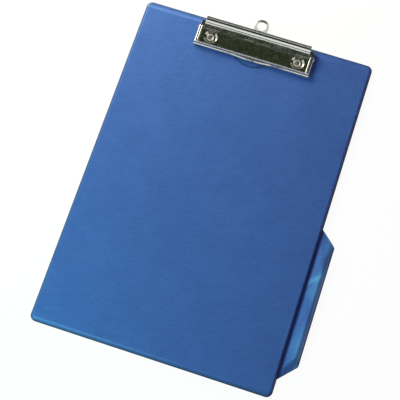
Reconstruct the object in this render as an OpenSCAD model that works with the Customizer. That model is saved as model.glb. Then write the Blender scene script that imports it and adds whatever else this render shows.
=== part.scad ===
// Clipboard for A4 sheets: a hard board welded into two plies of vinyl, a lever clip riveted
// at the top with a pull-out hanging loop under it, and a pen pocket on the right edge.
// Millimetres. X runs across the board, Y up towards the clip, Z out of the writing face.
// The origin is the centre of the back face.

/* [Board] */
// Width of the board over the vinyl
board_w = 235; // [215:1:260]
// Length of the board over the vinyl
board_l = 342; // [320:1:380]
// Radius of the board's corners
corner_r = 6; // [4:0.5:12]
// Thickness of the hard core
core_t = 3.2; // [2.6:0.1:5]
// Thickness of one vinyl ply
ply_t = 0.45; // [0.3:0.05:0.6]
// Width of the welded seam round the board
seam_w = 1; // [0.8:0.1:3.5]
// Radius of the vinyl's shoulder over the core's edge
shoulder_r = 2.2; // [1.2:0.1:3]

/* [Grip pad] */
// Radius of the half-moon pad under the vinyl
pad_r = 24; // [18:1:30]
// Thickness of the pad
pad_t = 0.4; // [0.3:0.05:0.6]
// Width of the pad's feathered rim
pad_rim = 1; // [0.8:0.1:4]
// How far the pad reaches out in front of the lip
pad_reach = 7.6; // [4:0.2:12]

/* [Pen pocket] */
// Width of the pocket beyond the board's edge
pocket_w = 15.4; // [13:0.2:22]
// Distance of the pocket's mouth from the board's bottom, at the board's edge
pocket_top = 167.2; // [140:1:200]
// Distance of the pocket's foot from the board's bottom, at the board's edge
pocket_foot = 18.5; // [10:0.5:40]
// Drop of the slanted mouth across the pocket
mouth_drop = 14.2; // [8:0.2:20]
// Rise of the slanted foot across the pocket
foot_rise = 16.7; // [10:0.2:24]
// Radius of the pocket's outer corner at the foot
pocket_r = 4.5; // [2:0.5:8]
// Radius of the pocket's outer corner at the mouth
mouth_r = 1.5; // [0.5:0.5:4]
// Height that the front ply bows up off the back ply
pocket_rise = 5.3; // [4.8:0.1:6.4]
// Place of the bow's crown across the pocket, as a share of its width
pocket_crown = 0.6; // [0.4:0.02:0.7]
// Height of the bow at the mouth, as a share of its full height
mouth_bow = 0.35; // [0.2:0.05:1]
// Length over which the bow rises behind the mouth
mouth_taper = 30; // [10:1:60]
// Length over which the bow runs out to the foot's seam
pocket_taper = 12; // [8:1:20]
// Width of the pocket's welded seam
pocket_seam = 1; // [0.8:0.1:3]

/* [Clip plate] */
// From the clip's end to the rivet's centre
rivet_end = 14.5; // [11:0.5:20]
// Distance of the rivets from the board's top edge
rivet_inset = 20.7; // [18:0.5:40]
// Thickness of the clip plate's sheet
plate_t = 0.8; // [0.6:0.1:1]
// Height of the slot under the clip plate, in which the hanger slides
slot_h = 1.2; // [1.1:0.1:1.6]
// Reach of the clip plate in front of the rivets
plate_front = 8.1; // [7.8:0.1:8.4]
// Reach of the clip plate behind the rivets
plate_rear = 15.7; // [15.2:0.1:17]
// Corner radius of the clip plate
plate_r = 2; // [1.2:0.1:3]
// Radius of the pressed well round a rivet, at its floor
well_r = 4.9; // [4.6:0.1:5.2]
// Width of the well's sloping wall
well_wall = 2; // [1:0.1:2.4]

/* [Jaw] */
// Length of the jaw's lip
jaw_len = 119; // [112:1:130]
// Thickness of the jaw's sheet
jaw_t = 0.9; // [0.7:0.05:1]
// Height of the jaw's side bars over the board
jaw_h = 4.6; // [4.4:0.1:5.6]
// Distance of the front flange in front of the rivets
flange_front = 10.3; // [10:0.1:13]
// Height of the knee where the lip flares out of the flange
knee_h = 2.1; // [1.8:0.1:2.6]
// Slope of the lip below the knee, from level
lip_slope = 40; // [30:1:60]
// Radius of the bead round the window
bead_r = 0.85; // [0.6:0.05:1]
// Width of a side bar, from the window's bead to the outside
bar_w = 4.2; // [3.6:0.1:6]
// Radius of the window's front corners
window_r = 2.4; // [1.6:0.2:4]
// Radius of the side bar's rounded shoulder
bar_r = 1.6; // [1.2:0.1:1.8]
// Outer radius of the lever's crown
lever_r = 5.6; // [5:0.1:6]
// Distance of the crown's centre behind the rivets
lever_y = 14.4; // [14:0.1:15]
// Height of the crown's centre over the board
lever_z = 2.9; // [2.6:0.1:3.4]
// Distance of the lever's ends from the jaw's ends
lever_inset = 5.3; // [4.6:0.1:7]
// Distance behind the rivets at which the jaw's sides end
taper_y = 8.8; // [8.7:0.1:9.4]
// Distance behind the rivets at which its slanted corners meet the lever
corner_y = 11.2; // [10.4:0.1:11.3]
// Angle at which the lever's rear edge stops, above the level
lever_end = 36; // [24:1:44]
// How far the swell stands forward
swell_d = 1.2; // [0.6:0.1:1.6]
// Radius of the hem along the lever's rear edge
hem_r = 0.75; // [0.6:0.05:0.8]

/* [Hinge] */
// Distance of the hinge behind the rivets
hinge_y = 7.1; // [6.5:0.1:7.6]
// Height of the hinge over the board
hinge_z = 1.7; // [1.6:0.05:1.8]
// Radius of the hinge pin
pin_r = 0.9; // [0.7:0.05:1]
// Radius of the pin's head
pin_head_r = 1.6; // [1.3:0.05:1.6]
// Thickness of the pin's head
pin_head_t = 0.7; // [0.5:0.1:1]
// Metal left round the pin in the clip plate's ear
ear_wall = 0.7; // [0.5:0.05:0.8]

/* [Springs] */
// Width of one leaf spring
spring_w = 26; // [16:1:34]
// From the rivet's centre to the spring's centre
spring_inset = 18; // [12:0.5:22]
// Thickness of the spring's leaf
spring_t = 0.5; // [0.3:0.05:0.6]
// Outer radius of the spring's bend
spring_r = 1.1; // [0.9:0.05:1.2]
// Distance of the bend behind the rivets
spring_y = 11.5; // [11:0.1:12]
// Length of the spring's upper leaf
spring_arm = 5.6; // [4.6:0.1:5.7]
// Angle of the upper leaf
spring_angle = 36; // [28:1:37]
// Radius of the stud that holds a spring
stud_r = 0.8; // [0.5:0.1:1.2]

/* [Rivets] */
// Radius of the rivet's head
rivet_head_r = 4; // [3.4:0.1:4.3]
// Radius of the rivet's shank
rivet_r = 2; // [1.6:0.1:2.2]
// Radius of the hollow in the rivet
rivet_bore_r = 1.2; // [0.8:0.1:1.3]
// Radius of the washer at the back
washer_r = 4.5; // [4:0.1:5.5]
// Thickness of the washer
washer_t = 0.7; // [0.5:0.05:1]
// Radius of the rivet's rolled tail
tail_r = 3; // [2.6:0.1:3.4]

/* [Hanger] */
// Width of the hanger strip
hanger_w = 14; // [12:0.5:18]
// Thickness of the hanger
hanger_t = 1; // [0.8:0.1:1]
// Radius of the hole that hangs on a nail or hook
hanger_hole_r = 4.75; // [3:0.25:5]
// How far the hanger stands out past the board when it is pulled out
hanger_out = 13.4; // [12:0.2:18]
// Width of the hanger's stop under the clip plate
stop_w = 21; // [20:1:30]
// Length of the hanger's stop
stop_l = 2.8; // [1.5:0.1:3]
// Length of the guide ribs beside the hanger
guide_l = 5.8; // [4:0.2:6]
// Width of a guide rib
guide_w = 0.8; // [0.6:0.1:1.2]

/* [Clearances] */
// Gap between pieces that move past each other
gap = 0.3; // [0.2:0.05:0.3]
// Gap between a pin and its hole
fit_gap = 0.05; // [0.03:0.01:0.08]
// Gap round the hanger in its slot
slide_gap = 0.1; // [0.05:0.05:0.1]

/* [Hidden] */
$fn = 96;

vinyl_blue = "#4a74b5";
board_grey = "#8c8375";
felt_grey = "#5d6066";
chrome = "#c9ccc8";
spring_steel = "#8f949a";
rivet_steel = "#d8dad8";

over = 0.02;                        // how far a cut runs past a face
core_w = board_w - 2 * (seam_w + ply_t);
core_l = board_l - 2 * (seam_w + ply_t);
core_top = ply_t + core_t;
face_z = core_top + ply_t;          // level of the writing face
cover_r = max(corner_r - seam_w, 1);
edge_r = min(shoulder_r, cover_r, core_t - 0.2);
rivet_y = board_l / 2 - rivet_inset;

// Places on the clip are measured from the rivets, and its levels from the writing face.
plate_top = slot_h + plate_t;
jaw_half = jaw_len / 2;
lever_len = jaw_len - 2 * lever_inset;
rivet_x = jaw_half - rivet_end;
bar_under = jaw_h - jaw_t;
bead_x = jaw_half - bar_w + bead_r;
bead_z = jaw_h - 0.4 * jaw_t;
bead_step = 0.03;                   // the bead is this much fuller round its corners
bead_lap = 0.3;                     // how far its straights run into the corners
bead_y = bead_r + 2 * bead_step - flange_front;
ear_out = jaw_half - jaw_t - gap;
ear_in = ear_out - plate_t;
slope = 45;                         // the sheet climbs to the lever at this angle
tangent_y = lever_y - lever_r * sin(slope);
tangent_z = lever_z + lever_r * cos(slope);
flat_end = tangent_y - (tangent_z - jaw_h) / tan(slope);
slope_foot = flat_end - 0.4;
side_foot = 0.5;                    // clearance under the jaw's side flanges
foot_back = hinge_y + 0.9 * pin_r;   // the flange's foot turns up behind here
lip_l = (knee_h - jaw_t / 2 - pad_t - gap) / sin(lip_slope);    // its tip just clears the pad
lip_tip_y = -flange_front - lip_l * cos(lip_slope);
front_r = jaw_t + gap;

pad_front = lip_tip_y - pad_reach;
pad_y = pad_front + pad_r;
pad_back = -plate_front - gap;
swell_half = sqrt(pad_r * pad_r - (pad_y - pad_back) * (pad_y - pad_back)) + gap;
swell_r = (swell_half * swell_half + swell_d * swell_d) / (2 * swell_d);
swell_lap = 0.16 * swell_half;       // how far the straight flange runs behind the swell's ends

washer_seat_r = washer_r + 0.2;
tail_t = 0.3;
tail_z = 0.05;                      // the rivet's tail stays this far inside the back face
washer_z = tail_z + tail_t;
head_z = face_z + plate_t;

rib_front = plate_rear - plate_t - guide_l;
stop_rear = rib_front - gap;
hanger_tip = rivet_inset + hanger_out;
stud_y = (spring_y + plate_rear) / 2 + gap;
spring_x = rivet_x - spring_inset;

pocket_x = board_w / 2;
pocket_end = pocket_x + pocket_w;
mouth_y = pocket_top - board_l / 2;
foot_y = pocket_foot - board_l / 2;
mouth_corner = [pocket_end, mouth_y - mouth_drop];
foot_corner = [pocket_end, foot_y + foot_rise];
mouth_start = [pocket_x, mouth_y];
foot_start = [pocket_x, foot_y];

function unit(v) = v / norm(v);
function half_angle(p, a, b) = acos(unit(a - p) * unit(b - p)) / 2;
function tangent_point(p, a, b, r) = p + unit(a - p) * r / tan(half_angle(p, a, b));
function corner_centre(p, a, b, r) =
    p + unit(unit(a - p) + unit(b - p)) * r / sin(half_angle(p, a, b));

// ---- shapes used more than once

module both_sides() {
    children();
    mirror([1, 0, 0]) children();
}

// Children drawn as (Y, Z) become a bar that runs len along X, centred.
module across(len) rotate([90, 0, 90]) linear_extrude(len, center = true) children();

// Children drawn as (X, Z) become a bar from y0 to y1.
module along(y0, y1)
    translate([0, y1, 0]) rotate([90, 0, 0]) linear_extrude(y1 - y0) children();

// Moves to the clip: the point on the writing face midway between the rivets.
module on_clip() translate([0, rivet_y, face_z]) children();

module rounded_rectangle(w, l, r) {
    square([w - 2 * r, l], center = true);
    square([w, l - 2 * r], center = true);
    for (x = [-1, 1], y = [-1, 1])
        translate([x * (w / 2 - r), y * (l / 2 - r)]) circle(r);
}

// A sector of a ring from angle a0 to a1, less than a half turn.
module ring_sector(r, t, a0, a1) {
    far = 3 * r;
    mid = (a0 + a1) / 2;
    intersection() {
        difference() {
            circle(r);
            circle(r - t);
        }
        polygon([[0, 0], far * [cos(a0), sin(a0)], far * [cos(mid), sin(mid)], far * [cos(a1), sin(a1)]]);
    }
}

// The section of a plate w wide and h high, its upper edges rounded to e.
module soft_section(w, h, e) intersection() {
    translate([-w / 2, 0]) square([w, h]);
    union() {
        translate([-w / 2, -e]) square([w, h]);
        translate([e - w / 2, 0]) square([w - 2 * e, h]);
        for (x = [-1, 1]) translate([x * (w / 2 - e), h - e]) circle(e);
    }
}

// A plate whose upper edge is rounded to e, corners r: two crossing bars and four turned corners.
module soft_plate(w, l, h, r, e) {
    along(r - l / 2, l / 2 - r) soft_section(w, h, e);
    across(w - 2 * r) soft_section(l, h, e);
    for (x = [-1, 1], y = [-1, 1]) translate([x * (w / 2 - r), y * (l / 2 - r), 0])
        rotate_extrude() intersection() {
            soft_section(2 * r, h, e);
            square([r, h]);
        }
}

module at_rivets() for (x = [-1, 1]) translate([x * rivet_x, rivet_y, 0]) children();

module rivet_holes(low, high)
    at_rivets() translate([0, 0, low - over]) cylinder(r = rivet_r, h = high - low + 2 * over);

module washer_seats(high)
    at_rivets() translate([0, 0, -over]) cylinder(r = washer_seat_r, h = high + over);

// The pad's half-moon, feathered at its rim and cut off straight behind the lip.
module half_moon(back, t) intersection() {
    translate([0, rivet_y + pad_y, 0]) cylinder(r1 = pad_r, r2 = pad_r - pad_rim, h = t);
    translate([-pad_r, rivet_y + pad_front - over, 0])
        cube([2 * pad_r, back - pad_front + over, t]);
}

// ---- board

module core_board() color(board_grey) difference() {
    translate([0, 0, ply_t]) soft_plate(core_w, core_l, core_t, cover_r - ply_t, edge_r - ply_t);
    rivet_holes(ply_t, core_top);
    washer_seats(washer_z + washer_t);
}

module grip_pad() color(felt_grey) translate([0, 0, core_top]) half_moon(pad_back, pad_t);

module front_cover() color(vinyl_blue) difference() {
    union() {
        translate([0, 0, ply_t]) linear_extrude(ply_t) rounded_rectangle(board_w, board_l, corner_r);
        translate([0, 0, ply_t])
            soft_plate(board_w - 2 * seam_w, board_l - 2 * seam_w, core_t + ply_t, cover_r, edge_r);
        translate([0, 0, face_z]) half_moon(pad_back + ply_t / 2, pad_t);
    }
    translate([0, 0, ply_t - over])
        soft_plate(core_w, core_l, core_t + over, cover_r - ply_t, edge_r - ply_t);
    translate([0, 0, core_top]) half_moon(pad_back, pad_t);
    rivet_holes(core_top, face_z);
}

module wing() {
    p = mouth_corner;
    q = foot_corner;
    linear_extrude(ply_t) polygon([mouth_start - [corner_r, 0], mouth_start,
        tangent_point(p, mouth_start, q, mouth_r), tangent_point(p, q, mouth_start, mouth_r),
        tangent_point(q, p, foot_start, pocket_r), tangent_point(q, foot_start, p, pocket_r),
        foot_start, foot_start - [corner_r, 0]]);
    translate(corner_centre(p, mouth_start, q, mouth_r)) cylinder(r = mouth_r, h = ply_t);
    translate(corner_centre(q, foot_start, p, pocket_r)) cylinder(r = pocket_r, h = ply_t);
}

module back_cover() color(vinyl_blue) difference() {
    union() {
        linear_extrude(ply_t) rounded_rectangle(board_w, board_l, corner_r);
        wing();
    }
    washer_seats(ply_t + over);
}

// ---- pen pocket: one ply that bows up off the back ply between its seams

board_seam = 0.8;                   // seam beside the board
bow_from = pocket_x + board_seam;
bow_to = pocket_end - pocket_seam;
mouth_turn = corner_centre(mouth_corner, mouth_start, foot_corner, mouth_r);
foot_turn = corner_centre(foot_corner, foot_start, mouth_corner, pocket_r);
mouth_turn_x = tangent_point(mouth_corner, mouth_start, foot_corner, mouth_r)[0];
foot_turn_x = tangent_point(foot_corner, foot_start, mouth_corner, pocket_r)[0];

bow_steps = 14;
row_steps = 44;
pocket_xs = concat([pocket_x], [for (i = [0 : bow_steps]) bow_from + (bow_to - bow_from) * i / bow_steps],
    [for (s = [0.5, 0.8, 0.95, 1]) bow_to + (pocket_end - bow_to) * s]);

function round_off(r, dx) = sqrt(max(r * r - dx * dx, 0));
function mouth_at(x) = x < mouth_turn_x ? mouth_y - mouth_drop * (x - pocket_x) / pocket_w
    : mouth_turn[1] + round_off(mouth_r, x - mouth_turn[0]);
function foot_at(x) = x < foot_turn_x ? foot_y + foot_rise * (x - pocket_x) / pocket_w
    : foot_turn[1] - round_off(pocket_r, x - foot_turn[0]);
function bow(x) = let (u = (x - bow_from) / (bow_to - bow_from), c = pocket_crown)
    u <= 0 || u >= 1 ? 0 : u < c ? 1 - pow((c - u) / c, 1.6) : 1 - pow((u - c) / (1 - c), 2);
function ease(s) = let (c = min(max(s, 0), 1)) c * c * (3 - 2 * c);
function ply_point(x, v, lift) =
    let (y = mouth_at(x) + (foot_at(x) - mouth_at(x)) * v,
         open = mouth_bow + (1 - mouth_bow) * ease((mouth_at(x) - y) / mouth_taper))
    [x, y, ply_t + lift + pocket_rise * open * bow(x) * ease((y - foot_at(x) - pocket_seam) / pocket_taper)];

module pocket_front() color(vinyl_blue) {
    nx = len(pocket_xs);
    ny = row_steps + 1;
    sheet = nx * ny;
    points = [for (lift = [0, ply_t], x = pocket_xs, j = [0 : row_steps]) ply_point(x, j / row_steps, lift)];
    under = [for (i = [0 : nx - 2], j = [0 : ny - 2]) let (a = i * ny + j)
        each [[a, a + ny, a + ny + 1], [a, a + ny + 1, a + 1]]];
    upper = [for (f = under) [f[2] + sheet, f[1] + sheet, f[0] + sheet]];
    rim = concat([for (i = [0 : nx - 1]) i * ny], [for (j = [1 : ny - 1]) (nx - 1) * ny + j],
        [for (i = [nx - 2 : -1 : 0]) i * ny + ny - 1], [for (j = [ny - 2 : -1 : 1]) j]);
    walls = [for (k = [0 : len(rim) - 1]) let (a = rim[k], b = rim[(k + 1) % len(rim)])
        each [[b, a, a + sheet], [b, a + sheet, b + sheet]]];
    polyhedron(points, concat(under, upper, walls));
}

// ---- clip plate, riveted to the board

module clip_plate() color(chrome) on_clip() difference() {
    union() {
        difference() {
            linear_extrude(plate_top) plate_outline(0);
            translate([0, 0, -over]) linear_extrude(slot_h + over) plate_outline(plate_t);
            translate([-ear_in + plate_t, plate_rear - 2 * plate_t, -over])
                cube([2 * (ear_in - plate_t), 3 * plate_t, slot_h + over]);
            for (x = [-1, 1]) translate([x * rivet_x, 0, 0]) cylinder(r = well_r + well_wall, h = plate_top + over);
        }
        for (x = [-1, 1]) translate([x * rivet_x, 0, 0]) well();
        both_sides() {
            translate([ear_in, 0, 0]) ear();
            translate([hanger_w / 2 + slide_gap, rib_front, 0]) cube([guide_w, guide_l, slot_h + over]);
        }
    }
    for (x = [-1, 1]) translate([x * rivet_x, 0, -over]) cylinder(r = rivet_r, h = plate_t + 2 * over);
    for (x = [-1, 1]) translate([x * spring_x, stud_y, 0]) cylinder(r = stud_r, h = plate_top + over);
    for (x = [-1, 1]) translate([x * (ear_in + plate_t / 2), hinge_y, hinge_z]) rotate([0, 90, 0])
        cylinder(r = pin_r, h = plate_t + 2 * over, center = true);
}

module plate_outline(inset) {
    w = 2 * (ear_out - inset);
    l = plate_front + plate_rear - 2 * inset;
    translate([0, (plate_rear - plate_front) / 2]) rounded_rectangle(w, l, plate_r - inset);
}

// The floor of a well lies on the board, and its wall climbs to the plate.
module well() rotate_extrude()
    polygon([[0, 0], [well_r, 0], [well_r + well_wall, slot_h], [well_r + well_wall + 0.3, slot_h],
        [well_r + well_wall + 0.3, plate_top], [well_r + well_wall, plate_top], [well_r, plate_t], [0, plate_t]]);

module ear() {
    r = pin_r + ear_wall;
    rotate([90, 0, 90]) linear_extrude(plate_t) {
        translate([hinge_y, hinge_z]) circle(r);
        translate([hinge_y - r, slot_h]) square([2 * r, hinge_z - slot_h]);
    }
}

// ---- jaw: a frame round a window, with a lip in front and a lever behind

// Solid under the pan's skin, set in by d: shoulders rounded at the sides and the front.
module pan_fill(d) {
    half = jaw_half - d;
    side_r = bar_r - d;
    nose_r = front_r - d;
    front = d - flange_front;
    top = jaw_h - d;
    intersection() {
        along(-2 * flange_front, corner_y) {
            translate([-half, -jaw_h]) square([2 * half, jaw_h + top - side_r]);
            translate([side_r - half, -jaw_h]) square([2 * (half - side_r), jaw_h + top]);
            for (x = [-1, 1]) translate([x * (half - side_r), top - side_r]) circle(side_r);
        }
        across(2 * jaw_len) {
            translate([front, -jaw_h]) square([2 * flange_front + flat_end, jaw_h + top - nose_r]);
            translate([front + nose_r, -jaw_h]) square([2 * flange_front + flat_end, jaw_h + top]);
            translate([front + nose_r, top - nose_r]) circle(nose_r);
        }
    }
}

module window_outline() {
    l = 2 * (flat_end - bead_y);
    intersection() {
        translate([0, bead_y + l / 2]) rounded_rectangle(2 * bead_x, l, window_r);
        translate([-jaw_half, bead_y - l]) square([jaw_len, l + l / 2]);
    }
}

module pan() difference() {
    pan_fill(0);
    pan_fill(jaw_t);
    translate([0, 0, bar_under - over]) linear_extrude(jaw_h) window_outline();
    translate([0, 0, (knee_h - jaw_h) / 2])
        cube([2 * (jaw_half - jaw_t), 4 * flange_front, knee_h + jaw_h], center = true);
    translate([0, -flange_front, knee_h + (bead_z - jaw_h - knee_h) / 2])
        cube([2 * (swell_half - swell_lap), 3 * jaw_t, bead_z - jaw_h + knee_h], center = true);
    across(2 * jaw_len) polygon([[-2 * flange_front, -2 * jaw_h], [-2 * flange_front, side_foot],
        [foot_back, side_foot], [taper_y, hinge_z], [2 * corner_y, hinge_z], [2 * corner_y, -2 * jaw_h]]);
    translate([jaw_t - lever_len / 2, flat_end, -jaw_h]) cube([lever_len - 2 * jaw_t, corner_y, 3 * jaw_h]);
    for (x = [-1, 1]) translate([0, 0, -jaw_h]) linear_extrude(3 * jaw_h) polygon([[x * jaw_half, taper_y],
        [x * lever_len / 2, corner_y], [x * lever_len / 2, 2 * corner_y], [x * jaw_len, 2 * corner_y],
        [x * jaw_len, taper_y]]);
}

// A cheek closes the end of the lever's slope.
module gusset() translate([(lever_len - jaw_t) / 2, 0, 0]) across(jaw_t) polygon([
    [flat_end - jaw_t / 2, bar_under + hem_r / 8], [corner_y, bar_under + hem_r / 8],
    [corner_y, jaw_h + corner_y - flat_end - jaw_t / 2], [flat_end - jaw_t / 2, jaw_h - jaw_t / 2]]);

module lip_section() {
    knee = [jaw_t / 2 - flange_front, knee_h];
    translate(knee) circle(jaw_t / 2);
    translate(knee) rotate(180 + lip_slope) {
        translate([0, -jaw_t / 2]) square([lip_l, jaw_t]);
        translate([lip_l, 0]) circle(jaw_t / 2);
    }
}

module swelled_flange() {
    half = asin(swell_half / swell_r) + 0.1;
    centre = swell_r - flange_front - swell_d;
    translate([0, centre, 0]) rotate(-90 - half) rotate_extrude(angle = 2 * half, $fn = 1440)
        translate([swell_r - flange_front, 0]) mirror([1, 0]) {
            lip_section();
            translate([-flange_front, knee_h]) square([jaw_t, bead_z - knee_h]);
            translate([-flange_front, bead_z - jaw_t]) square([jaw_t + swell_d, jaw_t]);
        }
}

module bead_side() translate([bead_x, flat_end, bead_z]) {
    sphere(bead_r);
    rotate([90, 0, 0]) cylinder(r = bead_r, h = flat_end - bead_y - window_r + bead_lap);
}

module bead_corner() translate([bead_x - window_r, bead_y + window_r, bead_z])
    rotate(-90) rotate_extrude(angle = 90) translate([window_r, 0]) circle(bead_r + bead_step);

module bead_front() translate([0, bead_y, bead_z]) rotate([0, 90, 0])
    cylinder(r = bead_r, h = 2 * (bead_x - window_r + bead_lap), center = true);

// The sheet climbs from the frame, turns over the crown and ends in a hem.
module lever_fill(d, run) {
    circle(lever_r - d);
    rotate(slope) translate([-run, 0]) square([run, lever_r - d]);
}

module lever_section() {
    run = (tangent_y - slope_foot) / cos(slope);
    far = 3 * lever_r;
    intersection() {
        difference() {
            lever_fill(0, run + 1);
            lever_fill(jaw_t, run + 1);
        }
        polygon([[0, 0], far * [cos(lever_end), sin(lever_end)], far * [0, 1], far * [-cos(slope), sin(slope)],
            far * [-cos(slope), sin(slope)] - run * [cos(slope), sin(slope)], -run * [cos(slope), sin(slope)]]);
    }
}

module lever() intersection() {
    translate([0, lever_y, lever_z]) {
        across(jaw_len) lever_section();
        across(jaw_len) rotate(lever_end) translate([lever_r - jaw_t / 2, 0]) circle(hem_r);
        across(jaw_len) rotate(90 + slope) translate([lever_r - jaw_t / 2, (tangent_y - slope_foot) / cos(slope)])
            circle(jaw_t / 2);
    }
    translate([-lever_len / 2, 0, 0]) cube([lever_len, 2 * (lever_y + lever_r), 2 * (lever_z + lever_r)]);
}

module lip() translate([(swell_half + jaw_half) / 2 - over, 0, 0])
    across(jaw_half - swell_half + 2 * over) lip_section();

module jaw() color(chrome) on_clip() difference() {
    union() {
        pan();
        both_sides() bead_side();
        bead_front();
        both_sides() bead_corner();
        lever();
        both_sides() gusset();
        swelled_flange();
        both_sides() lip();
    }
    for (x = [-1, 1]) translate([x * jaw_half - x * jaw_t / 2, hinge_y, hinge_z]) rotate([0, 90, 0])
        cylinder(r = pin_r + fit_gap, h = 2 * jaw_t, center = true);
}

// ---- hinge pins, springs and studs

module hinge_pin() on_clip() translate([ear_in, hinge_y, hinge_z]) rotate([0, 90, 0]) {
    shank = jaw_half + slide_gap - ear_in;
    cylinder(r = pin_r, h = shank + pin_head_t / 2);
    translate([0, 0, shank]) rotate_extrude() {
        square([pin_head_r - pin_head_t / 2, pin_head_t]);
        translate([pin_head_r - pin_head_t / 2, pin_head_t / 2]) circle(pin_head_t / 2);
    }
}

module hinge_pin_right() color(rivet_steel) hinge_pin();
module hinge_pin_left() color(rivet_steel) mirror([1, 0, 0]) hinge_pin();

module leaf_spring() on_clip() translate([spring_x, 0, plate_top]) difference() {
    across(spring_w) {
        translate([spring_y, 0]) square([plate_rear - plate_t - spring_y, spring_t]);
        translate([spring_y, spring_r]) {
            ring_sector(spring_r, spring_t, 90 + spring_angle, 270 - (90 - spring_angle) / 2);
            ring_sector(spring_r, spring_t, 180, 270);
            rotate(spring_angle) translate([0, spring_r - spring_t]) {
                square([spring_arm, spring_t]);
                translate([spring_arm, spring_t / 2]) circle(spring_t / 2);
            }
        }
    }
    translate([0, stud_y, -over]) cylinder(r = stud_r, h = spring_t + 2 * over);
}

module spring_right() color(spring_steel) leaf_spring();
module spring_left() color(spring_steel) mirror([1, 0, 0]) leaf_spring();

module spring_stud() on_clip() translate([spring_x, stud_y, slot_h]) {
    head = 0.4;
    grip = plate_t + spring_t;
    translate([0, 0, -head]) cylinder(r = 1.6 * stud_r, h = head);
    cylinder(r = stud_r, h = grip + head / 2);
    translate([0, 0, grip]) cylinder(r1 = 1.8 * stud_r, r2 = 1.4 * stud_r, h = head);
}

module spring_stud_right() color(rivet_steel) spring_stud();
module spring_stud_left() color(rivet_steel) mirror([1, 0, 0]) spring_stud();

// ---- rivets and their washers

module rivet() translate([rivet_x, rivet_y, 0]) difference() {
    rolled = 0.95;                  // radius of the head's rolled rim
    seat = 0.25;                    // height of the rim's centre over the seat
    union() {
        translate([0, 0, tail_z]) {
            cylinder(r = rivet_r, h = head_z - tail_z + seat);
            rotate_extrude() {
                square([tail_r - tail_t / 2, tail_t]);
                translate([tail_r - tail_t / 2, tail_t / 2]) circle(tail_t / 2);
            }
        }
        translate([0, 0, head_z]) rotate_extrude() {
            square([rivet_head_r - rolled, 2 * seat]);
            square([rivet_r * 0.6, 3 * seat]);
            intersection() {
                translate([rivet_head_r - rolled, seat]) circle(rolled);
                square([rivet_head_r + over, 2 * rolled]);
            }
        }
    }
    cylinder(r = rivet_bore_r, h = core_top - rivet_bore_r);
}

module rivet_right() color(rivet_steel) rivet();
module rivet_left() color(rivet_steel) mirror([1, 0, 0]) rivet();

module rivet_washer() translate([rivet_x, rivet_y, washer_z]) difference() {
    cylinder(r = washer_r, h = washer_t);
    translate([0, 0, -over]) cylinder(r = rivet_r, h = washer_t + 2 * over);
}

module rivet_washer_right() color(rivet_steel) rivet_washer();
module rivet_washer_left() color(rivet_steel) mirror([1, 0, 0]) rivet_washer();

// ---- hanger, shown pulled out

module hanger() color(chrome) on_clip() translate([0, 0, slide_gap]) linear_extrude(hanger_t) difference() {
    eye = hanger_tip - hanger_w / 2;
    union() {
        translate([0, eye]) circle(hanger_w / 2);
        translate([-hanger_w / 2, stop_rear - stop_l / 2]) square([hanger_w, eye - stop_rear + stop_l / 2]);
        translate([0, stop_rear - stop_l / 2]) rounded_rectangle(stop_w, stop_l, 0.8 * min(stop_l / 2, 1));
    }
    translate([0, eye]) circle(hanger_hole_r);
}

core_board();
grip_pad();
front_cover();
back_cover();
pocket_front();
clip_plate();
jaw();
hinge_pin_left();
hinge_pin_right();
spring_left();
spring_right();
spring_stud_left();
spring_stud_right();
rivet_left();
rivet_right();
rivet_washer_left();
rivet_washer_right();
hanger();
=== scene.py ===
import math
import bmesh
import bpy
from mathutils import Matrix, Vector


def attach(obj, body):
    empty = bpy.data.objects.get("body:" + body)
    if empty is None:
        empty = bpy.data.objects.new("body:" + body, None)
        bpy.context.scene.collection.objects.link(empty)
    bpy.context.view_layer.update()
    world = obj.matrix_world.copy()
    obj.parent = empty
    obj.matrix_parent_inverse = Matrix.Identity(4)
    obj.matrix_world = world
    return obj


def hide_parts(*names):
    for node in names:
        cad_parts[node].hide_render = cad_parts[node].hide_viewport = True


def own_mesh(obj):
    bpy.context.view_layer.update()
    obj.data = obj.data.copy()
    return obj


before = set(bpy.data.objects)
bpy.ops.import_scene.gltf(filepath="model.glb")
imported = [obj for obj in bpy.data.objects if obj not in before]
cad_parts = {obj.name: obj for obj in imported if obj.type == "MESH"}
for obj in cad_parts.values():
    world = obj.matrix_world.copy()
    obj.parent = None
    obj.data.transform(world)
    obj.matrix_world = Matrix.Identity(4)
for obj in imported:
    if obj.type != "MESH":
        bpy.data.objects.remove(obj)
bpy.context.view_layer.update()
mm = 0.001      # lengths in the dictionaries are millimetres, in the frame of the CAD


def report(words):
    print("clipboard:", words)


def hexColour(text):
    # sRGB hex to the linear values that nodes take
    parts = [int(text[i:i + 2], 16) / 255 for i in (1, 3, 5)]
    linear = [c / 12.92 if c <= 0.04045 else ((c + 0.055) / 1.055) ** 2.4 for c in parts]
    return tuple(linear) + (1.0,)


def deselectAll():
    if bpy.context.object and bpy.context.object.mode != "OBJECT":
        bpy.ops.object.mode_set(mode="OBJECT")
    bpy.ops.object.select_all(action="DESELECT")


def activate(obj):
    deselectAll()
    bpy.context.view_layer.objects.active = obj
    obj.select_set(True)


def meshObject(name, points, faces):
    mesh = bpy.data.meshes.new(name)
    mesh.from_pydata(points, [], faces)
    obj = bpy.data.objects.new(name, mesh)
    bpy.context.collection.objects.link(obj)
    return obj


def applyModifier(obj, kind, name, **settings):
    modifier = obj.modifiers.new(name, kind)
    for key, value in settings.items():
        setattr(modifier, key, value)
    activate(obj)
    bpy.ops.object.modifier_apply(modifier=name)


def mergeDoubles(obj, distance):
    activate(obj)
    bpy.ops.object.mode_set(mode="EDIT")
    bpy.ops.mesh.select_all(action="SELECT")
    bpy.ops.mesh.remove_doubles(threshold=distance * mm)
    bpy.ops.object.mode_set(mode="OBJECT")


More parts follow.
